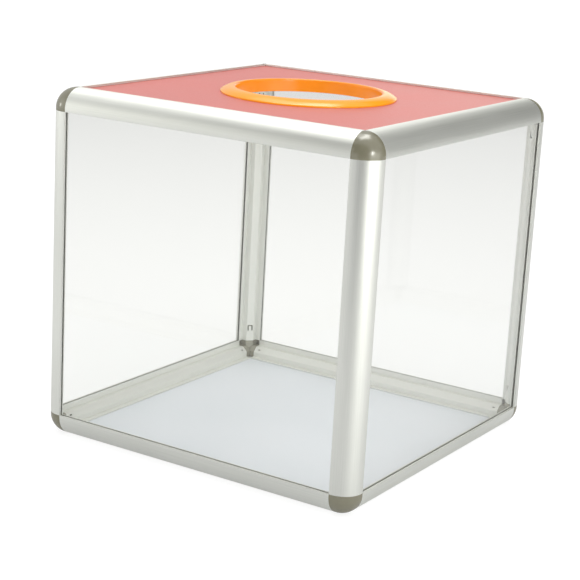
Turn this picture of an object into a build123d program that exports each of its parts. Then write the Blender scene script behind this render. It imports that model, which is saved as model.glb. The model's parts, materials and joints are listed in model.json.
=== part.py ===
from build123d import *

import math
import os

# Clear collection box with a hand hole: twelve quarter-round aluminium bars joined by eight
# three-way plastic corners, four clear side panels, a coloured top panel, a base panel and a
# plastic ring round the hand hole.
#
# Millimetres. The origin is at the centre of the footprint, on the surface that the box stands
# on, with +Z up. Front is -Y and right is +X.

# ---- Driving dimensions -------------------------------------------------------------------

# Whole frame, over the outer faces of the bars
WIDTH = 300.0
DEPTH = 300.0
HEIGHT = 290.0

# Section of the bars. Its two legs lie along two outer faces of the box and are alike.
LEG = 18.5  # from an outer face of the box to the lips' free edge
EDGE_R = 16.8  # outer rounding; what is left of the leg is a flat land to stand on
TUBE = 13.6  # from an outer face to the far wall of the central socket
WEB_LEG = 4.6  # chamfer on the socket's inner corner, which makes the slanted web
SKIN = 1.2  # wall under the outer rounding
WALL = 1.1  # other walls of the socket
LIP_OUT = 1.6  # outer lip: from the outer face to the panel slot
SLOT = 1.8  # width of the panel slot
LIP_IN = 1.0  # inner lip

# Panels
SIDE_T = 1.5  # clear side panels
TOP_T = 1.5
BASE_T = 1.5
PANEL_GAP = 0.3  # between a panel's edge and the bottom of its slot

# Corner connectors: arms that are pushed into the bars' sockets
ARM_FIT = 0.15  # clearance all round an arm
ARM_LENGTH = 26.0
ARM_LEAD = 1.0  # chamfer on the tip of an arm

# Lances: a tongue punched out of a post's web near each end, bent in behind a step of the arm
LANCE_START = 10.0  # from the post's end to the window
LANCE_LENGTH = 5.6
LANCE_WIDTH = 4.9
TONGUE_WIDTH = 2.6
TONGUE_LENGTH = 4.6
TONGUE_ANGLE = 8.0
POCKET_DEPTH = 1.6  # recess in the arm behind a lance or a punch mark
POCKET_MARGIN = 0.6  # how far the recess reaches past the window at each end

# Punch marks in the web of the rails, near each end
PUNCH_START = 3.2
PUNCH_LENGTH = 3.0
PUNCH_WIDTH = 1.3

# Hand hole and its ring
HAND_R = 60.0  # free radius for a hand
COLLAR_WALL = 2.4
COLLAR_DROP = 4.3  # the collar's reach below the top panel
HOLE_FIT = 0.3  # between the collar and the hole in the top panel
FLANGE_R = 72.5
FLANGE_EDGE = 1.2  # height of the flange's outer edge above the panel
RING_RISE = 5.0  # height of the ring above the panel
BROW_R = 1.6  # rounding between the inner wall and the top of the ring
LUGS = 4  # snap lugs that hold the ring from below
LUG_REACH = 1.2  # how far a lug stands out from the collar
LUG_HEIGHT = 1.6
LUG_ANGLE = 12.0  # degrees of the circle that a lug covers
LUG_GAP = 0.1  # between a lug and the underside of the panel

# ---- Sizes that follow --------------------------------------------------------------------

SLOT_END = LIP_OUT + SLOT  # far side of the panel slot
LIP_FACE = SLOT_END + LIP_IN  # face of the inner lip that looks into the box
WEB = TUBE - WEB_LEG  # where the slanted web meets the socket's walls
SOCKET = TUBE - WALL  # far side of the socket's hollow
SOCKET_R = EDGE_R - SKIN
SOCKET_ARC = EDGE_R - math.sqrt(SOCKET_R**2 - (EDGE_R - SOCKET) ** 2)  # end of its arc
SOCKET_WEB = TUBE + WEB - WALL * math.sqrt(2) - SOCKET
WEB_MID = (TUBE + WEB) / 2  # both distances of the web's middle line from the outer faces

COLLAR_R = HAND_R + COLLAR_WALL
HOLE_R = COLLAR_R + HOLE_FIT
TOP_FACE = HEIGHT - LIP_OUT - (SLOT - TOP_T) / 2  # upper face of the top panel
TOP_UNDER = TOP_FACE - TOP_T
BASE_UNDER = LIP_OUT + (SLOT - BASE_T) / 2
PANEL_INSET = TUBE + PANEL_GAP  # from an outer face to the edge of a panel
SIDE_INSET = LIP_OUT + (SLOT - SIDE_T) / 2  # from an outer face to a side panel's face

X_DIR, Y_DIR, Z_DIR = Vector(1, 0, 0), Vector(0, 1, 0), Vector(0, 0, 1)


# ---- Frames to build in -------------------------------------------------------------------


def inward_plane(origin, along, inward_a, inward_b):
    """Plane at origin whose z runs along a bar and whose x and y both point into the box."""
    right_handed = along.cross(inward_a).dot(inward_b) > 0
    return Plane(origin=origin, x_dir=inward_a if right_handed else inward_b, z_dir=along)


def in_frame(frame, plane):
    """A plane given in the coordinates of frame."""
    return Plane(frame.location * plane.location)


def web_plane(distance, tilt=0.0):
    """Plane on a bar's slanted web, distance from the bar's end: x along the bar, z outward.

    A tilt, in degrees, sinks the far end of x into the bar.
    """
    along, down = math.cos(math.radians(tilt)), math.sin(math.radians(tilt))
    half = math.sqrt(0.5)
    return Plane(
        origin=(WEB_MID, WEB_MID, distance),
        x_dir=(-down * half, -down * half, along),
        z_dir=(along * half, along * half, down),
    )


# ---- Profiles -----------------------------------------------------------------------------


def bar_outline():
    """Closed outline of a bar, with both panel slots. It is symmetric about its diagonal."""
    leg = [
        (LEG, 0),
        (LEG, LIP_OUT),
        (TUBE, LIP_OUT),
        (TUBE, SLOT_END),
        (LEG, SLOT_END),
        (LEG, LIP_FACE),
        (TUBE, LIP_FACE),
        (TUBE, WEB),
    ]
    other_leg = [(y, x) for x, y in reversed(leg)]
    with BuildSketch() as outline:
        with BuildLine():
            Polyline((EDGE_R, 0), *leg, *other_leg, (0, EDGE_R))
            RadiusArc((0, EDGE_R), (EDGE_R, 0), -EDGE_R)
        make_face()
    return outline.sketch


def socket_outline():
    """The hollow in the middle of a bar."""
    with BuildSketch() as outline:
        with BuildLine():
            Polyline(
                (SOCKET, SOCKET_ARC),
                (SOCKET, SOCKET_WEB),
                (SOCKET_WEB, SOCKET),
                (SOCKET_ARC, SOCKET),
            )
            RadiusArc((SOCKET_ARC, SOCKET), (SOCKET, SOCKET_ARC), -SOCKET_R)
        make_face()
    return outline.sketch


# ---- Bars ---------------------------------------------------------------------------------


def make_bar(ends, length, lances):
    """Cut length of the extrusion between two end planes, with lances or punch marks."""
    with BuildPart() as bar:
        with BuildSketch(ends[0]):
            add(bar_outline())
            add(socket_outline(), mode=Mode.SUBTRACT)
        extrude(amount=length)
        for end in ends:
            if lances:
                # Window with a tongue bent into the bar, hinged on the side of the bar's end
                with BuildSketch(in_frame(end, web_plane(LANCE_START))):
                    Rectangle(LANCE_LENGTH, LANCE_WIDTH, align=(Align.MIN, Align.CENTER))
                extrude(amount=-WALL, mode=Mode.SUBTRACT)
                with BuildSketch(in_frame(end, web_plane(LANCE_START, TONGUE_ANGLE))):
                    Rectangle(TONGUE_LENGTH, TONGUE_WIDTH, align=(Align.MIN, Align.CENTER))
                extrude(amount=-WALL)
            else:
                with BuildSketch(in_frame(end, web_plane(PUNCH_START + PUNCH_LENGTH / 2))):
                    SlotOverall(PUNCH_LENGTH, PUNCH_WIDTH)
                extrude(amount=-WALL, mode=Mode.SUBTRACT)
    return bar.part


def save(part, name):
    """Label a finished piece and write it under its own name."""
    part.label = name
    export_step(part, f"parts/{name}.step")
    print(f"{name:28s} {part.volume / 1000:8.2f} cm3")


os.makedirs("parts", exist_ok=True)

SIDES_X = {"left": -1, "right": 1}
SIDES_Y = {"front": -1, "rear": 1}
LEVELS = {"bottom": 0, "top": 1}


def corner_point(side_x, side_y, level):
    """Sharp outer corner of the frame."""
    return Vector(side_x * WIDTH / 2, side_y * DEPTH / 2, level * HEIGHT)


def upright(level):
    """Direction from a level's outer face into the box."""
    return Z_DIR if level == 0 else -Z_DIR


# Posts: bars that stand between the bottom and the top corners
for x_name, side_x in SIDES_X.items():
    for y_name, side_y in SIDES_Y.items():
        ends = []
        for level in LEVELS.values():
            inward = upright(level)
            start = corner_point(side_x, side_y, level) + inward * LEG
            ends.append(inward_plane(start, inward, X_DIR * -side_x, Y_DIR * -side_y))
        post = make_bar(ends, HEIGHT - 2 * LEG, lances=True)
        save(post, f"post_{y_name}_{x_name}")

# Rails along X, at the front and the rear
for level_name, level in LEVELS.items():
    for y_name, side_y in SIDES_Y.items():
        ends = []
        for side_x in SIDES_X.values():
            inward = X_DIR * -side_x
            start = corner_point(side_x, side_y, level) + inward * LEG
            ends.append(inward_plane(start, inward, Y_DIR * -side_y, upright(level)))
        rail = make_bar(ends, WIDTH - 2 * LEG, lances=False)
        save(rail, f"{level_name}_rail_{y_name}")

# Rails along Y, at the left and the right
for level_name, level in LEVELS.items():
    for x_name, side_x in SIDES_X.items():
        ends = []
        for side_y in SIDES_Y.values():
            inward = Y_DIR * -side_y
            start = corner_point(side_x, side_y, level) + inward * LEG
            ends.append(inward_plane(start, inward, X_DIR * -side_x, upright(level)))
        rail = make_bar(ends, DEPTH - 2 * LEG, lances=False)
        save(rail, f"{level_name}_rail_{x_name}")

# ---- Corner connectors --------------------------------------------------------------------

# Each is made at the origin, in the corner of +X, +Y and +Z, with its post arm along +Z.

with BuildPart() as rounded_corner:
    Box(LEG, LEG, LEG, align=(Align.MIN, Align.MIN, Align.MIN))
    outer_edges = rounded_corner.edges().sort_by_distance((0, 0, 0))[:3]
    fillet(outer_edges, EDGE_R)

with BuildPart() as connector:
    # The cap's skin, and the three sockets' outsides carried on until they meet
    for base in (Plane.XY, Plane.YZ, Plane.ZX):
        with BuildSketch(base):
            Rectangle(LEG, LEG, align=(Align.MIN, Align.MIN))
        extrude(amount=LIP_OUT)
        with BuildSketch(base):
            Polygon((0, 0), (TUBE, 0), (TUBE, WEB), (WEB, TUBE), (0, TUBE), align=None)
        extrude(amount=LEG)
    add(rounded_corner.part, mode=Mode.INTERSECT)

    # Arms, each with a chamfered tip and a recess under the bar's lance or punch mark
    recesses = (
        (Plane.XY, LANCE_START, LANCE_LENGTH),
        (Plane.YZ, PUNCH_START, PUNCH_LENGTH),
        (Plane.ZX, PUNCH_START, PUNCH_LENGTH),
    )
    for base, mark_start, mark_length in recesses:
        with BuildSketch(base.offset(LEG)):
            add(socket_outline())
            offset(amount=-ARM_FIT, kind=Kind.INTERSECTION, mode=Mode.REPLACE)
        extrude(amount=ARM_LENGTH)
        tip = connector.faces().sort_by(Axis(base.origin, base.z_dir))[-1]
        chamfer(tip.edges(), ARM_LEAD)
        bar_end = base.offset(LEG)
        with BuildSketch(in_frame(bar_end, web_plane(mark_start - POCKET_MARGIN))):
            Rectangle(
                mark_length + 2 * POCKET_MARGIN,
                2 * WEB_LEG,
                align=(Align.MIN, Align.CENTER),
            )
        extrude(amount=-WALL - ARM_FIT - POCKET_DEPTH, mode=Mode.SUBTRACT)

for level_name, level in LEVELS.items():
    for y_name, side_y in SIDES_Y.items():
        for x_name, side_x in SIDES_X.items():
            corner = inward_plane(
                corner_point(side_x, side_y, level),
                upright(level),
                X_DIR * -side_x,
                Y_DIR * -side_y,
            )
            with BuildPart() as placed_corner:
                with Locations(corner.location):
                    add(connector.part)
            save(placed_corner.part, f"corner_{level_name}_{y_name}_{x_name}")

# ---- Panels -------------------------------------------------------------------------------

PANEL_WIDTH = WIDTH - 2 * PANEL_INSET
PANEL_DEPTH = DEPTH - 2 * PANEL_INSET
PANEL_HEIGHT = HEIGHT - 2 * PANEL_INSET

for y_name, side_y in SIDES_Y.items():
    outer = side_y * (DEPTH / 2 - SIDE_INSET)
    with BuildPart() as side_panel:
        with BuildSketch(Plane((0, outer, HEIGHT / 2), x_dir=X_DIR, z_dir=Y_DIR * -side_y)):
            Rectangle(PANEL_WIDTH, PANEL_HEIGHT)
        extrude(amount=SIDE_T)
    save(side_panel.part, f"side_panel_{y_name}")

for x_name, side_x in SIDES_X.items():
    outer = side_x * (WIDTH / 2 - SIDE_INSET)
    with BuildPart() as side_panel:
        with BuildSketch(Plane((outer, 0, HEIGHT / 2), x_dir=Y_DIR, z_dir=X_DIR * -side_x)):
            Rectangle(PANEL_DEPTH, PANEL_HEIGHT)
        extrude(amount=SIDE_T)
    save(side_panel.part, f"side_panel_{x_name}")

with BuildPart() as base_panel:
    with BuildSketch(Plane.XY.offset(BASE_UNDER)):
        Rectangle(PANEL_WIDTH, PANEL_DEPTH)
    extrude(amount=BASE_T)
save(base_panel.part, "base_panel")

with BuildPart() as top_panel:
    with BuildSketch(Plane.XY.offset(TOP_UNDER)):
        Rectangle(PANEL_WIDTH, PANEL_DEPTH)
        Circle(HOLE_R, mode=Mode.SUBTRACT)
    extrude(amount=TOP_T)
save(top_panel.part, "top_panel")

# ---- Hand-hole ring -----------------------------------------------------------------------

COLLAR_END = TOP_UNDER - COLLAR_DROP
RING_TOP = TOP_FACE + RING_RISE
LUG_TOP = TOP_UNDER - LUG_GAP

with BuildPart() as hand_hole_ring:
    # Half section: the top swells from the flange's edge up to a rounded brow at the hole
    with BuildSketch(Plane.XZ):
        with BuildLine():
            Polyline(
                (FLANGE_R, TOP_FACE + FLANGE_EDGE),
                (FLANGE_R, TOP_FACE),
                (COLLAR_R, TOP_FACE),
                (COLLAR_R, COLLAR_END),
                (HAND_R, COLLAR_END),
                (HAND_R, RING_TOP - BROW_R),
            )
            RadiusArc((HAND_R, RING_TOP - BROW_R), (HAND_R + BROW_R, RING_TOP), BROW_R)
            TangentArc(
                (HAND_R + BROW_R, RING_TOP),
                (FLANGE_R, TOP_FACE + FLANGE_EDGE),
                tangent=(1, 0),
            )
        make_face()
    revolve(axis=Axis.Z)
    # Snap lugs under the panel, each with a sloped underside so that the ring can be pushed in
    for index in range(LUGS):
        turn = index * 360 / LUGS - LUG_ANGLE / 2
        lug_plane = Plane.XZ.rotated((0, 0, turn))
        with BuildSketch(lug_plane):
            Polygon(
                (COLLAR_R - COLLAR_WALL / 2, LUG_TOP),
                (COLLAR_R + LUG_REACH, LUG_TOP),
                (COLLAR_R, LUG_TOP - LUG_HEIGHT),
                (COLLAR_R - COLLAR_WALL / 2, LUG_TOP - LUG_HEIGHT),
                align=None,
            )
        revolve(axis=Axis.Z, revolution_arc=LUG_ANGLE)
save(hand_hole_ring.part, "hand_hole_ring")
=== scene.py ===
# %% [markdown]
# # A clear collection box with a hand hole
# The real box is a cage of rounded aluminium bars, held by plastic corners, with clear sheets
# in the bars' slots. This lesson dresses the finished construction: the bars, corners and
# sheets already have their true shapes and places, so they only need their finishes, and the
# moulded ring is made again here with the small radii that a moulding has.

# %% Load the construction and measure it
import json
import math

import bmesh
import bpy
from mathutils import Matrix, Vector


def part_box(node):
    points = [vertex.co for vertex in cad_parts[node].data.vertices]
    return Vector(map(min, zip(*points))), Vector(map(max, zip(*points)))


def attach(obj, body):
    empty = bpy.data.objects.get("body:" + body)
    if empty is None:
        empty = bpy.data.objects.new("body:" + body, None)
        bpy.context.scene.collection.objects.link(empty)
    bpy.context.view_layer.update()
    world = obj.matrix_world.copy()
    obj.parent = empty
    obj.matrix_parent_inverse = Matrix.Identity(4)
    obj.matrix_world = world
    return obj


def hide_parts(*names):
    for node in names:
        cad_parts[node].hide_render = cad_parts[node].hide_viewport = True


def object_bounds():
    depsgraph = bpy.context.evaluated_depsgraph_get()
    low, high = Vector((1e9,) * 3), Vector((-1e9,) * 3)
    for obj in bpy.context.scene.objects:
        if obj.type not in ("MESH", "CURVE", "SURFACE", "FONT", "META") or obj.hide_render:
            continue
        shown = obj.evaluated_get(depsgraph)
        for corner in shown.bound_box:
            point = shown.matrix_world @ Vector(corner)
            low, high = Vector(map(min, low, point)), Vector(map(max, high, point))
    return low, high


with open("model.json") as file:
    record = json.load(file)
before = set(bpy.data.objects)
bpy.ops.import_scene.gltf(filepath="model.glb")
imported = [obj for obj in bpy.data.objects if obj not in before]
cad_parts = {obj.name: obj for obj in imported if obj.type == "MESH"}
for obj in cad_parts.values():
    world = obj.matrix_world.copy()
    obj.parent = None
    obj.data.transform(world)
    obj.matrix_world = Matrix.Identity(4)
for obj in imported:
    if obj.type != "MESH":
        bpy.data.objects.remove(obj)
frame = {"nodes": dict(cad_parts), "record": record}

MM = 0.001
nodes = frame["nodes"]
cad_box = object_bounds()
centre = (cad_box[0] + cad_box[1]) / 2
print(len(nodes), "pieces, overall size", [round(v, 4) for v in cad_box[1] - cad_box[0]])

# %% [markdown]
# ## The camera
# A product camera stands a little above the box, in front of its edge, with a long lens so
# that the box isn't drawn out of shape. Its turn, height and tilt are angles, and the place
# that it looks from follows from them.

# %% Place the camera
LENS_MM = 99.3
SENSOR_MM = 36.0
TURN, HEIGHT_ANGLE, TILT = 32.32, 14.72, 3.18
DISTANCE = 1.3483
ASIDE, ABOVE = -0.0075, -0.0234


def camera_axes(turn, height_angle, tilt):
    """The camera's right, up and backward directions."""
    a, e, t = (math.radians(v) for v in (turn, height_angle, tilt))
    back = Vector((math.sin(a) * math.cos(e), -math.cos(a) * math.cos(e), math.sin(e)))
    right = Vector((math.cos(a), math.sin(a), 0.0))
    up = back.cross(right)
    spin = Matrix.Rotation(t, 3, back)
    return spin @ right, spin @ up, back


right, up, back = camera_axes(TURN, HEIGHT_ANGLE, TILT)
camera = bpy.data.objects.new("camera", bpy.data.cameras.new("camera"))
bpy.context.scene.collection.objects.link(camera)
camera.data.lens = LENS_MM
camera.data.sensor_width = SENSOR_MM
camera.data.clip_end = 50.0
camera.matrix_world = Matrix((right, up, back)).transposed().to_4x4()
camera.location = centre + back * DISTANCE + right * ASIDE + up * ABOVE
bpy.context.scene.camera = camera
print("camera stands at", [round(v, 4) for v in camera.location])

# %% [markdown]
# ## Light
# Silver bars show what stands around them, and matt surfaces show how much light falls on
# them. A render may treat the two apart: two soft lamps light the box and cast its shadow,
# and the mirrors see cards instead, which come in a later cell. The lamps stay plain, so a
# colour renders about as it is written.

# %% Soft lamps
AIM = Vector((0.0, 0.0, centre.z))
LAMPS = {
    # name: (turn, height angle, distance, width, height, radiance)
    "lamp_overhead": (-131.0, 78.0, 1.7, 1.1, 1.1, 1.0),
    "lamp_right": (76.0, 16.0, 1.3, 1.2, 0.6, 1.8),
}


def toward(turn, height_angle):
    """Direction from the box to a place around it. Turn 0 is in front and 90 on the right."""
    a, e = math.radians(turn), math.radians(height_angle)
    return Vector((math.sin(a) * math.cos(e), -math.cos(a) * math.cos(e), math.sin(e)))


def facing_box(obj, direction, distance):
    """Puts an object around the box, with its back to the room."""
    obj.location = AIM + direction * distance
    obj.rotation_euler = direction.to_track_quat("Z", "Y").to_euler()
    bpy.context.scene.collection.objects.link(obj)
    return obj


for name, (turn, height_angle, distance, width, height, radiance) in LAMPS.items():
    data = bpy.data.lights.new(name, "AREA")
    data.shape = "RECTANGLE"
    data.size, data.size_y = width, height
    data.energy = radiance * width * height * math.pi
    lamp = facing_box(bpy.data.objects.new(name, data), toward(turn, height_angle), distance)
    lamp.visible_camera = False
    lamp.visible_glossy = False
    print(name, "energy", round(data.energy, 2), "W")

# %% [markdown]
# ## Shader maths in plain Python
# A material is a network of small boxes. Wrapping an output socket in a class lets the maths
# be written as an expression, such as 0.04 + 0.96 * facing ** 5, and each operation adds its
# own Math box. Every other box comes from one method.

# %% A socket that can be calculated with
class Wire:
    """Output socket of a node, for use in expressions."""

    def __init__(self, graph, socket):
        self.graph = graph
        self.socket = socket

    def maths(self, operation, *values):
        return self.graph.add("ShaderNodeMath", {"operation": operation}, dict(enumerate(values)))

    def __add__(self, other):
        return self.maths("ADD", self, other)

    def __sub__(self, other):
        return self.maths("SUBTRACT", self, other)

    def __rsub__(self, other):
        return self.maths("SUBTRACT", other, self)

    def __mul__(self, other):
        return self.maths("MULTIPLY", self, other)

    def __rtruediv__(self, other):
        return self.maths("DIVIDE", other, self)

    def __pow__(self, other):
        return self.maths("POWER", self, other)

    def at_least(self, other):
        return self.maths("MAXIMUM", self, other)

    __radd__ = __add__
    __rmul__ = __mul__


# %% A material that adds its nodes one call at a time
class Graph:
    """Node tree of a material or of the world."""

    def __init__(self, owner):
        owner.use_nodes = True
        self.owner = owner
        self.tree = owner.node_tree
        self.tree.nodes.clear()

    def add(self, kind, settings=None, values=None, output=0):
        """New node: its settings first, then the values or links of its sockets."""
        node = self.tree.nodes.new(kind)
        for key, value in (settings or {}).items():
            setattr(node, key, value)
        for key, value in (values or {}).items():
            if isinstance(value, Wire):
                self.tree.links.new(value.socket, node.inputs[key])
            elif isinstance(value, list):
                for wire in value:
                    self.tree.links.new(wire.socket, node.inputs[key])
            else:
                node.inputs[key].default_value = value
        return Wire(self, node.outputs[output]) if node.outputs else None

    def place(self):
        """Where a point is on the object, in metres."""
        return self.add("ShaderNodeTexCoord", output="Object")

    def vector(self, operation, *values, output="Vector"):
        settings = {"operation": operation}
        return self.add("ShaderNodeVectorMath", settings, dict(enumerate(values)), output)

    def times(self, vector, scale):
        return self.vector("MULTIPLY", vector, scale)

    def along(self, vector, axis):
        """One of the values X, Y and Z of a vector."""
        return self.add("ShaderNodeSeparateXYZ", {}, {0: vector}, output=axis)

    def noise(self, vector, scale, detail=2.0, roughness=0.5):
        values = {"Vector": vector, "Scale": scale, "Detail": detail, "Roughness": roughness}
        return self.add("ShaderNodeTexNoise", {}, values, output="Fac")

    def spread(self, value, low, high, to_low=0.0, to_high=1.0):
        """Value from low..high moved to another range, and held inside it."""
        values = {0: value, 1: low, 2: high, 3: to_low, 4: to_high}
        return self.add("ShaderNodeMapRange", {"clamp": True}, values)

    def blend(self, share, first, second):
        """Colour between two colours, whose sockets are 6 and 7 when a Mix box mixes colours."""
        values = {0: share, 6: first, 7: second}
        return self.add("ShaderNodeMix", {"data_type": "RGBA"}, values, output=2)

    def bump(self, height, distance, **more):
        values = {"Height": height, "Distance": distance, **more}
        return self.add("ShaderNodeBump", {}, values)

    def finish(self, shader):
        kind = "World" if isinstance(self.owner, bpy.types.World) else "Material"
        self.add(f"ShaderNodeOutput{kind}", {}, {"Surface": shader})
        return self.owner


def colour(red, green, blue):
    """Colour from the values of a paint chart, 0 to 255."""
    shares = [v / 255 for v in (red, green, blue)]
    linear = [v / 12.92 if v <= 0.04045 else ((v + 0.055) / 1.055) ** 2.4 for v in shares]
    return (*linear, 1.0)


print("mid grey is", [round(v, 3) for v in colour(128, 128, 128)])

# %% [markdown]
# ## The room and the table
# Light Path tells a surface who is looking. The camera, and rays that have gone through clear
# material, see plain white. Everything else is lit by the room as it is. The table glows for
# the camera, for clear sheets and for the mirrors of the metal. Seen through a sheet it is
# painted dimmer far from the box, as painted shade, and in the mirrors it is dimmer close to
# the box, a painted shadow of the box. It keeps a faint share of its own shading, so the box
# still casts a soft shadow on it.

# %% Room
ROOM_IN_MIRRORS, ROOM_ON_MATT = 0.78, 1.04  # strengths, where 1 is white
WHITE = (1.0, 1.0, 1.0, 1.0)


def watched(graph):
    """1 for the camera and for rays that have gone through clear material, else 0."""
    camera_ray = graph.add("ShaderNodeLightPath", output="Is Camera Ray")
    return camera_ray.at_least(graph.add("ShaderNodeLightPath", output="Is Transmission Ray"))


world = Graph(bpy.data.worlds.new("room"))
bpy.context.scene.world = world.owner
on_matt = world.add("ShaderNodeLightPath", output="Is Diffuse Ray")
lit = ROOM_IN_MIRRORS + (ROOM_ON_MATT - ROOM_IN_MIRRORS) * on_matt
strength = lit + (1 - lit) * watched(world)
world.finish(world.add("ShaderNodeBackground", {}, {"Color": WHITE, "Strength": strength}))

# %% Table
TABLE_OWN_SHADE = 0.3  # share of the table's look that its own shading keeps
TABLE_GREY = (0.82, 0.82, 0.82, 1.0)
GLOW = 1.2
# Seen through a clear sheet or in the metal: distances from the box's middle in metres, and
# the glow there. Through a sheet the glow is painted dimmer far off, as painted shade; in the
# metal it is painted lower near the box, as a painted shadow.
THROUGH_PAINTED_SHADE = {"low": 0.4, "high": 2.4, "to_low": 1.08, "to_high": 0.62}
MIRRORED_PAINTED_SHADOW = {"low": 0.18, "high": 0.4, "to_low": 0.62, "to_high": 0.85}
FLOOR_SIZE = 12.0

paint = Graph(bpy.data.materials.new("pale_table"))
away = paint.vector("LENGTH", paint.place(), output="Value")
matt = paint.add("ShaderNodeBsdfDiffuse", {}, {"Color": TABLE_GREY})
sheets_passed = paint.add("ShaderNodeLightPath", output="Transparent Depth")
through = paint.spread(sheets_passed, 0.0, 1.0)
# Painted shade: seen through a sheet, the table glows less far from the box.
painted_shade_far = paint.spread(away, **THROUGH_PAINTED_SHADE)
looked_at = watched(paint)
mirrored = paint.add("ShaderNodeLightPath", output="Is Glossy Ray")
# Painted shadow: in the mirrors, the table glows less close to the box.
painted_shadow_in_mirrors = paint.spread(away, **MIRRORED_PAINTED_SHADOW)
strength = (GLOW + (painted_shade_far - GLOW) * through) * looked_at + painted_shadow_in_mirrors * mirrored
glow = paint.add("ShaderNodeEmission", {}, {"Color": WHITE, "Strength": strength})
shares = {0: looked_at.at_least(mirrored) * (1 - TABLE_OWN_SHADE), 1: matt, 2: glow}
paint.finish(paint.add("ShaderNodeMixShader", {}, shares))


def flat_sheet(name, width, height, material):
    """Rectangle round the origin, as part of the studio."""
    x, y = width / 2, height / 2
    mesh = bpy.data.meshes.new(name)
    mesh.from_pydata([(-x, -y, 0), (x, -y, 0), (x, y, 0), (-x, y, 0)], [], [(0, 1, 2, 3)])
    mesh.materials.append(material)
    sheet = bpy.data.objects.new(name, mesh)
    return sheet


floor = flat_sheet("floor", FLOOR_SIZE, FLOOR_SIZE, paint.owner)
bpy.context.scene.collection.objects.link(floor)
print("floor is", FLOOR_SIZE, "m across")

# %% [markdown]
# ## Cards for the mirrors
# A photographer draws the shape of a silver bar with bright and dark cards. Softboxes above
# and behind whiten the rounded tops, a wide one on the right, down to the table, gives the
# front post its bright band, and two small ones put a glint on the corners. Pale cards fill
# the left and the back, where the top sheet mirrors them. The dark cards keep soft grey edges
# beside them, as the unlit side of a studio does. Every card fades out towards its edge, and
# only mirrors see the cards.

# %% Cards
CARD_WHITE = (1.0, 1.0, 0.96, 1.0)
FEATHER = 0.25  # share of a card's half width over which it fades out
CARDS = {
    # name: (turn, height angle, distance, width, height, brightness)
    "softbox_small": (66.5, 17.0, 1.02, 0.18, 0.18, 24.0),
    "softbox_tiny": (-61.0, 13.0, 1.02, 0.13, 0.13, 11.0),
    "softbox_behind": (-118.0, 71.0, 1.69, 0.6, 1.45, 2.5),
    "softbox_overhead": (-137.0, 82.0, 1.7, 1.14, 0.97, 7.6),
    "softbox_right": (78.5, -7.0, 0.95, 0.94, 0.98, 2.3),
    "pale_card_left": (-50.0, 16.0, 1.6, 1.55, 1.05, 1.26),
    "pale_card_behind": (-168.0, 11.0, 1.6, 1.05, 0.48, 1.4),
    "dark_card_front": (5.5, 33.4, 1.73, 2.95, 1.5, 0.0),
    "dark_card_camera": (31.1, 8.3, 1.4, 1.65, 1.58, 0.02),
    "dark_card_rear": (169.0, 28.0, 1.71, 1.6, 1.35, 0.1),
    "dark_card_low": (140.4, 11.0, 1.71, 1.1, 0.95, 0.24),
}
for name, (turn, height_angle, distance, width, height, brightness) in CARDS.items():
    tone = Graph(bpy.data.materials.new(name))
    outward = tone.vector("ABSOLUTE", tone.times(tone.place(), (2 / width, 2 / height, 0.0)))
    to_edge = tone.along(outward, "X").at_least(tone.along(outward, "Y"))
    shares = {
        0: tone.spread(to_edge, 1.0 - FEATHER, 1.0),
        1: tone.add("ShaderNodeEmission", {}, {"Color": CARD_WHITE, "Strength": brightness}),
        2: tone.add("ShaderNodeBsdfTransparent"),
    }
    tone.finish(tone.add("ShaderNodeMixShader", {}, shares))
    card = flat_sheet(name, width, height, tone.owner)
    facing_box(card, toward(turn, height_angle), distance)
    card.visible_camera = False
    card.visible_diffuse = False
    card.visible_shadow = False
    card.visible_transmission = False
print("cards:", ", ".join(CARDS))

# %% [markdown]
# ## Anodised aluminium
# The bars are pushed through a die, then etched and anodised, so their silver is satin and
# faintly streaked along their length. Noise that is stretched along the bar gives the
# streaks. The faces inside the box are painted paler and duller, as painted light that
# lightens them where they show through the sheets. The walls of the slots are painted
# darker, as painted shade. The sharp edges of the die are rounded by a hair, which a Bevel
# node shows without new faces.

# %% Where a point is inside the frame
EDGE_ROUND = 16.8 * MM  # the frame's outer rounding
LIP, SLOT = 1.6 * MM, 1.8 * MM  # from a bar's outer face: its lip, then the slot
SHELL_FROM, SHELL_TO = 0.5 * MM, 1.4 * MM  # depth over which outside turns into inside
SLOT_BLUR = 0.1 * MM

frame_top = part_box("top_rail_front")[1].z
mid_height = (cad_box[0].z + frame_top) / 2
core = Vector((cad_box[1].x, cad_box[1].y, frame_top - mid_height)) - Vector([EDGE_ROUND] * 3)
print("rounding centres at", [round(v / MM, 2) for v in core], "mm from the middle")


def reach_outwards(graph, place):
    """Distance from the middle line of the frame's roundings, in metres."""
    middle = graph.vector("SUBTRACT", place, (0.0, 0.0, mid_height))
    beyond = graph.vector("SUBTRACT", graph.vector("ABSOLUTE", middle), tuple(core))
    outward = graph.vector("MAXIMUM", beyond, (0.0, 0.0, 0.0))
    return graph.vector("LENGTH", outward, output="Value")


def depth_inside(graph, place):
    """1 on the faces that look into the box, 0 on the outside."""
    reach = reach_outwards(graph, place)
    return graph.spread(reach, EDGE_ROUND - SHELL_TO, EDGE_ROUND - SHELL_FROM, 1.0, 0.0)


def painted_slot_shade(graph, place):
    """1 on the walls of the slots that hold the sheets, where painted shade goes."""
    reach = reach_outwards(graph, place)
    outer_wall = EDGE_ROUND - LIP
    inner_wall = outer_wall - SLOT
    past_inner = graph.spread(reach, inner_wall - SLOT_BLUR, inner_wall)
    return past_inner * graph.spread(reach, outer_wall, outer_wall + SLOT_BLUR, 1.0, 0.0)


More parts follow.
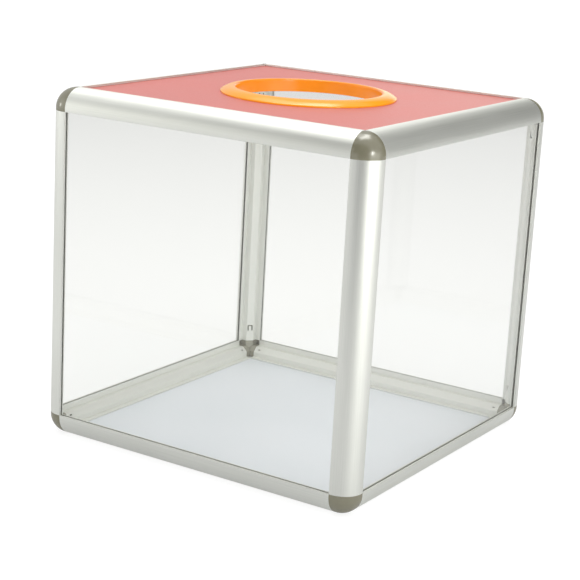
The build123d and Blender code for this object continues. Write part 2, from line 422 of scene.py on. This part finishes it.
# %% Aluminium, for bars along each axis
STREAKS = 2.5 / MM  # across the bar
STREAK_LENGTH = 60 * MM
CLOUDS, GRAIN = 14.0, 2500.0  # patches and specks in a metre
SATIN = (0.42, 0.5)  # roughness
DIE_EDGE, RELIEF_DEPTH = 0.45 * MM, 0.002 * MM
SILVER_DARK, SILVER_LIGHT = colour(224, 226, 220), colour(236, 237, 232)
# Painted light: the paler colour inside the box. Painted shade: the darker slot walls.
INSIDE_PAINTED_LIGHT, SLOT_PAINTED_SHADE = colour(232, 233, 228), colour(188, 188, 182)


def anodised(axis):
    """Satin aluminium whose streaks run along an axis, 0 to 2."""
    graph = Graph(bpy.data.materials.new("anodised_aluminium_" + "xyz"[axis]))
    scale = tuple(1 / STREAK_LENGTH if i == axis else STREAKS for i in range(3))
    place = graph.place()
    streaks = graph.noise(graph.times(place, scale), 1.0, detail=3.0)
    clouds = graph.noise(place, CLOUDS)
    grain = graph.noise(place, GRAIN)
    inside = depth_inside(graph, place)
    tone = graph.spread(streaks + 0.6 * clouds, 0.5, 1.1)
    silver = graph.blend(tone, SILVER_DARK, SILVER_LIGHT)
    satin = graph.spread(streaks * 0.6 + grain * 0.4, 0.3, 0.7, *SATIN)
    edge = graph.add("ShaderNodeBevel", {"samples": 4}, {"Radius": DIE_EDGE})
    relief = streaks * 0.7 + grain * 0.3
    slot_shade = painted_slot_shade(graph, place)
    # Painted light: the faces inside the box are paler, duller and less metallic.
    skin = graph.blend(inside, silver, INSIDE_PAINTED_LIGHT)
    values = {
        # Painted shade: the walls of the slots are darker.
        "Base Color": graph.blend(slot_shade, skin, SLOT_PAINTED_SHADE),
        "Metallic": 1.0 - 0.6 * inside,
        "Roughness": satin + 0.08 * inside,
        "Normal": graph.bump(relief, RELIEF_DEPTH, Normal=edge),
    }
    return graph.finish(graph.add("ShaderNodeBsdfPrincipled", {}, values))


aluminium = [anodised(axis) for axis in range(3)]
print("streaks along x, y and z:", [m.name for m in aluminium])

# %% [markdown]
# ## Clear acrylic
# A thin clear sheet bends nothing that shows, so it is made of two shaders: one lets the
# light through with a faint tint, the other mirrors the room. How much it mirrors grows as
# the view gets flatter, and the rule of thumb for that is 0.04 + 0.96 * facing ** 5. A few
# wiping marks make the mirror uneven.

# %% Acrylic
HEAD_ON = 0.04  # share that clear plastic mirrors when it is looked at straight on
CLEAR_TINT = (0.99, 0.992, 0.985, 1.0)
WIPING = (30.0, 30.0, 8.0)  # marks in a metre, longer up and down


def clear_acrylic():
    """Thin clear sheet of two shaders: one lets light through, the other mirrors."""
    graph = Graph(bpy.data.materials.new("clear_sheet"))
    facing = graph.add("ShaderNodeLayerWeight", {}, {"Blend": 0.5}, output="Facing")
    mirror_share = HEAD_ON + (1 - HEAD_ON) * facing**5
    wiped = graph.noise(graph.times(graph.place(), WIPING), 1.0, detail=4.0)
    roughness = graph.spread(wiped, 0.45, 0.75, 0.01, 0.07)
    clear = graph.add("ShaderNodeBsdfTransparent", {}, {"Color": CLEAR_TINT})
    mirror = graph.add("ShaderNodeBsdfGlossy", {}, {"Color": WHITE, "Roughness": roughness})
    shares = {0: mirror_share, 1: clear, 2: mirror}
    return graph.finish(graph.add("ShaderNodeMixShader", {}, shares))


acrylic = clear_acrylic()
print(acrylic.name, "has", len(acrylic.node_tree.nodes), "nodes")

# %% [markdown]
# ## Plastics and sheets
# The corners, the ring, the top sheet and the base are plastics with the same build: a colour
# that drifts a little, a gloss that isn't even, and a fine relief from the mould or the
# roller. Only the numbers differ, so one function makes them all.

# %% Plastic
MIDDLE = (0.35, 0.65)  # the span in which most of a noise lies


def plastic(name, light, dark, gloss, drift, texture, relief, other=None, ior=1.5):
    """Plastic between two colours. gloss is a pair of roughness values.

    drift is how many patches of colour there are in a metre, texture the same for the fine
    relief, and relief its depth. other, if given, is a second colour, and a function that
    gives its share at a place.
    """
    graph = Graph(bpy.data.materials.new(name))
    place = graph.place()
    patches = graph.noise(place, drift, detail=3.0)
    fine = graph.noise(place, texture, detail=2.0)
    base = graph.blend(graph.spread(patches, *MIDDLE), dark, light)
    if other:
        base = graph.blend(other[1](graph, place), base, other[0])
    values = {
        "Base Color": base,
        "Roughness": graph.spread(patches * 0.5 + fine * 0.5, *MIDDLE, *gloss),
        "Normal": graph.bump(fine, relief),
        "IOR": ior,
    }
    return graph.finish(graph.add("ShaderNodeBsdfPrincipled", {}, values))


# %% Corners
corner_plastic = plastic(
    "moulded_corner",
    colour(122, 119, 99),
    colour(113, 110, 90),
    gloss=(0.2, 0.28),
    drift=40.0,
    texture=2200.0,
    relief=0.004 * MM,
    # Painted light: the corners' faces inside the box are paler.
    other=(colour(152, 150, 134), depth_inside),
    ior=1.8,
)
print(corner_plastic.name, "for the eight corners")

# %% Top sheet and base
top_under, top_face = (corner.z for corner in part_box("top_panel"))
FILM = (0.25 * MM, 0.35 * MM)  # above the top sheet's underside: the end of its pale face


def below_sheet(graph, place):
    """1 on the underside of the top sheet."""
    low, high = (top_under + height for height in FILM)
    return graph.spread(graph.along(place, "Z"), low, high, 1.0, 0.0)


# Painted sheen: the red is paler than the sheet's own red, and the low IOR of 1.3 keeps its real
# mirror weak.
red_sheet = plastic(
    "red_sheet",
    colour(215, 119, 111),
    colour(210, 114, 106),
    gloss=(0.32, 0.4),
    drift=12.0,
    texture=900.0,
    relief=0.001 * MM,
    other=(colour(226, 226, 222), below_sheet),
    ior=1.3,
)
base_sheet = plastic(
    "white_sheet",
    colour(233, 237, 243),
    colour(229, 234, 240),
    gloss=(0.42, 0.5),
    drift=10.0,
    texture=1500.0,
    relief=0.002 * MM,
)
print(red_sheet.name, "and", base_sheet.name)

# %% Ring
mounts = {mount["name"]: mount for mount in frame["record"]["mounts"]}
free_radius = mounts["hand_hole"]["dims"]["r_mm"] * MM
CREST = (0.6 * MM, 2.2 * MM)  # outside the free radius: from the hole's wall to the flange


def flange_painted_light(graph, place):
    """1 outside the ring's crest, where the flange is painted lighter as painted light, 0 on the
    wall of its hole.
    """
    flat = graph.vector("LENGTH", graph.times(place, (1.0, 1.0, 0.0)), output="Value")
    return graph.spread(flat, *(free_radius + width for width in CREST))


ring_plastic = plastic(
    "moulded_ring_finish",
    colour(251, 142, 8),
    colour(247, 137, 5),
    gloss=(0.18, 0.24),
    drift=30.0,
    texture=1200.0,
    relief=0.001 * MM,
    # Painted light: the flange is lighter and yellower than the wall of the hole, which stands in
    # shade.
    other=(colour(255, 166, 12), flange_painted_light),
)
print(ring_plastic.name, "for a free hole of", round(2 * free_radius / MM, 1), "mm")

# %% [markdown]
# ## Dressing the construction
# Each piece gets its finish by its name. A bar's streaks run along its longest side.

# %% Give every piece its finish
def long_axis(name):
    """0, 1 or 2 for the longest side of a piece's box."""
    low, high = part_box(name)
    size = high - low
    return max(range(3), key=lambda i: size[i])


for name, obj in nodes.items():
    if name.startswith("corner_"):
        finish = corner_plastic
    elif name.startswith("side_panel_"):
        finish = acrylic
    elif name == "top_panel":
        finish = red_sheet
    elif name == "base_panel":
        finish = base_sheet
    elif name == "hand_hole_ring":
        finish = ring_plastic
    else:
        finish = aluminium[long_axis(name)]
    obj.data.materials.clear()
    obj.data.materials.append(finish)
print("dressed", len(nodes), "pieces")

# %% [markdown]
# ## The hand hole's ring
# The real ring is moulded: a collar drops through the hole, a flange covers the cut edge of
# the sheet, and small lugs under the sheet snap it in place. It is round, so Geometry Nodes
# sweep one outline round a circle. The outline has the small radii that every moulding has,
# because those catch the light. The lugs are one short sweep that is repeated on a circle.

# %% A geometry recipe with named inputs
class Recipe(Graph):
    """Geometry node tree that is run once and leaves a plain mesh."""

    def __init__(self, name, **inputs):
        self.tree = bpy.data.node_groups.new(name, "GeometryNodeTree")
        face = self.tree.interface
        face.new_socket("Outline", in_out="INPUT", socket_type="NodeSocketGeometry")
        self.keys = {}
        for label, kind in inputs.items():
            item = face.new_socket(label, in_out="INPUT", socket_type="NodeSocket" + kind)
            self.keys[label] = item.identifier
        face.new_socket("Piece", in_out="OUTPUT", socket_type="NodeSocketGeometry")
        self.entry = self.tree.nodes.new("NodeGroupInput")

    def given(self, label):
        return Wire(self, self.entry.outputs[label])

    def finish(self, geometry, material):
        whole = self.add("GeometryNodeRealizeInstances", {}, {"Geometry": geometry})
        values = {"Geometry": whole, "Material": material}
        self.add("NodeGroupOutput", {}, {0: self.add("GeometryNodeSetMaterial", {}, values)})

    def run(self, obj, **values):
        """Works on an object with these inputs and keeps the result as its mesh."""
        modifier = obj.modifiers.new(self.tree.name, "NODES")
        modifier.node_group = self.tree
        for label, value in values.items():
            modifier[self.keys[label]] = value
        done = obj.evaluated_get(bpy.context.evaluated_depsgraph_get())
        mesh = bpy.data.meshes.new_from_object(done)
        obj.modifiers.clear()
        obj.data = mesh
        return obj


# %% The ring's outline
ring_low, ring_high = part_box("hand_hole_ring")
COLLAR_WALL = 2.4 * MM
FLANGE_EDGE = 1.2 * MM
BROW = 1.6 * MM  # rounding of the crest
FREE_EDGE, SEAT_EDGE = 0.4 * MM, 0.2 * MM  # roundings of the other edges
LEAD = 0.3  # an arc's extra point before and after it, as a share of its radius
DOME_STEPS = 14
flange_width = ring_high.x - free_radius
collar_drop = ring_low.z - top_face
ring_rise = ring_high.z - top_face


def dome(start, end, steps):
    """Points on the arc that leaves start level and falls to end."""
    run, drop = end[0] - start[0], start[1] - end[1]
    radius = (run**2 + drop**2) / (2 * drop)
    sweep = math.asin(run / radius)
    for i in range(steps + 1):
        a = sweep * i / steps
        yield start[0] + radius * math.sin(a), start[1] - radius * (1 - math.cos(a))


def rounded(corners, steps=5):
    """Closed outline through corners (across, up, rounding), each rounded by an arc."""
    points = []
    for i, (x, y, rounding) in enumerate(corners):
        here = Vector((x, y))
        if not rounding:
            points.append(here)
            continue
        before = (Vector(corners[i - 1][:2]) - here).normalized()
        after = (Vector(corners[(i + 1) % len(corners)][:2]) - here).normalized()
        half = before.angle(after) / 2
        middle = here + (before + after).normalized() * rounding / math.sin(half)
        first = here + before * rounding / math.tan(half) - middle
        last = here + after * rounding / math.tan(half) - middle
        turn = first.angle_signed(last)
        points.append(middle + first + before * rounding * LEAD)
        for k in range(steps + 1):
            points.append(middle + Matrix.Rotation(-turn * k / steps, 2) @ first)
        points.append(middle + last + after * rounding * LEAD)
    return points


arc = dome((BROW, ring_rise), (flange_width, FLANGE_EDGE), DOME_STEPS)
crown = [(x, y, 0) for x, y in arc]
outline = rounded(
    [
        (0.0, collar_drop, FREE_EDGE),
        (0.0, ring_rise, BROW),
        *crown[1:-1],
        (flange_width, FLANGE_EDGE, FREE_EDGE),
        (flange_width, 0.0, SEAT_EDGE),
        (COLLAR_WALL, 0.0, 0),
        (COLLAR_WALL, collar_drop, FREE_EDGE),
    ]
)
print("ring outline has", len(outline), "points")

# %% The ring's recipe
LUG_REACH, LUG_HEIGHT, LUG_GAP = 1.2 * MM, 1.6 * MM, 0.1 * MM
LUG_POINTS = 12  # along a lug

recipe = Recipe(
    "moulded_ring",
    Free_Radius="Float",
    Seat_Height="Float",
    Segments="Int",
    Lugs="Int",
    Lug_Sweep="Float",
)
sweep_line = recipe.add(
    "GeometryNodeCurvePrimitiveCircle",
    {"mode": "RADIUS"},
    {"Resolution": recipe.given("Segments"), "Radius": recipe.given("Free_Radius")},
)
section = recipe.add("GeometryNodeMeshToCurve", {}, {0: recipe.given("Outline")})
swept = recipe.add("GeometryNodeCurveToMesh", {}, {"Curve": sweep_line, "Profile Curve": section})
lug_line = recipe.add(
    "GeometryNodeCurveArc",
    {"mode": "RADIUS"},
    {
        "Resolution": LUG_POINTS,
        "Radius": recipe.given("Free_Radius"),
        "Start Angle": recipe.given("Lug_Sweep") * -0.5,
        "Sweep Angle": recipe.given("Lug_Sweep"),
    },
)
lug_top = top_under - top_face - LUG_GAP
lug_corners = [
    (COLLAR_WALL / 2, lug_top),
    (COLLAR_WALL + LUG_REACH, lug_top),
    (COLLAR_WALL, lug_top - LUG_HEIGHT),
    (COLLAR_WALL / 2, lug_top - LUG_HEIGHT),
]
lug_section = recipe.add(
    "GeometryNodeCurvePrimitiveQuadrilateral",
    {"mode": "POINTS"},
    {f"Point {i + 1}": (x, -y, 0.0) for i, (x, y) in enumerate(lug_corners)},
)
lug = recipe.add(
    "GeometryNodeCurveToMesh",
    {},
    {"Curve": lug_line, "Profile Curve": lug_section, "Fill Caps": True},
)
step = recipe.add("GeometryNodeInputIndex") * (2 * math.pi / recipe.given("Lugs"))
turns = recipe.add("ShaderNodeCombineXYZ", {}, {"Z": step})
lugs = recipe.add(
    "GeometryNodeInstanceOnPoints",
    {},
    {
        "Points": recipe.add("GeometryNodePoints", {}, {"Count": recipe.given("Lugs")}),
        "Instance": lug,
        "Rotation": turns,
    },
)
smooth = recipe.add("GeometryNodeSetShadeSmooth", {}, {"Geometry": swept})
both = recipe.add("GeometryNodeJoinGeometry", {}, {"Geometry": [smooth, lugs]})
seat = recipe.add("ShaderNodeCombineXYZ", {}, {"Z": recipe.given("Seat_Height")})
raised = recipe.add("GeometryNodeTransform", {}, {"Geometry": both, "Translation": seat})
recipe.finish(raised, ring_plastic)
print("recipe has", len(recipe.tree.nodes), "nodes and the inputs", ", ".join(recipe.keys))

# %% Make the ring
RING_SEGMENTS, LUGS, LUG_ANGLE = 192, 4, 12.0

mesh = bpy.data.meshes.new("hand_ring")
ring = bpy.data.objects.new("hand_ring", mesh)
bpy.context.scene.collection.objects.link(ring)
edges = [(i, (i + 1) % len(outline)) for i in range(len(outline))]
mesh.from_pydata([(x, -y, 0.0) for x, y in outline], edges, [])
recipe.run(
    ring,
    Free_Radius=free_radius,
    Seat_Height=top_face,
    Segments=RING_SEGMENTS,
    Lugs=LUGS,
    Lug_Sweep=math.radians(LUG_ANGLE),
)


def face_outwards(obj):
    """Turns a closed shape's faces outwards, and gives its volume in cubic centimetres."""
    shape = bmesh.new()
    shape.from_mesh(obj.data)
    if shape.calc_volume(signed=True) < 0:
        bmesh.ops.reverse_faces(shape, faces=shape.faces)
    volume = shape.calc_volume(signed=True) * 1e6
    shape.to_mesh(obj.data)
    shape.free()
    return volume


print("ring volume", round(face_outwards(ring), 2), "cm3, faces", len(ring.data.polygons))
low = [round(min(v.co[i] for v in ring.data.vertices) / MM, 2) for i in range(3)]
high = [round(max(v.co[i] for v in ring.data.vertices) / MM, 2) for i in range(3)]
print("ring spans", low, high, "and the construction's", ring_low / MM, ring_high / MM)
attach(ring, "root")
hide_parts("hand_hole_ring")

# %% [markdown]
# ## The last step
# The picture is shown with its colours as they are.

# %% Finish
bpy.context.scene.view_settings.view_transform = "Standard"
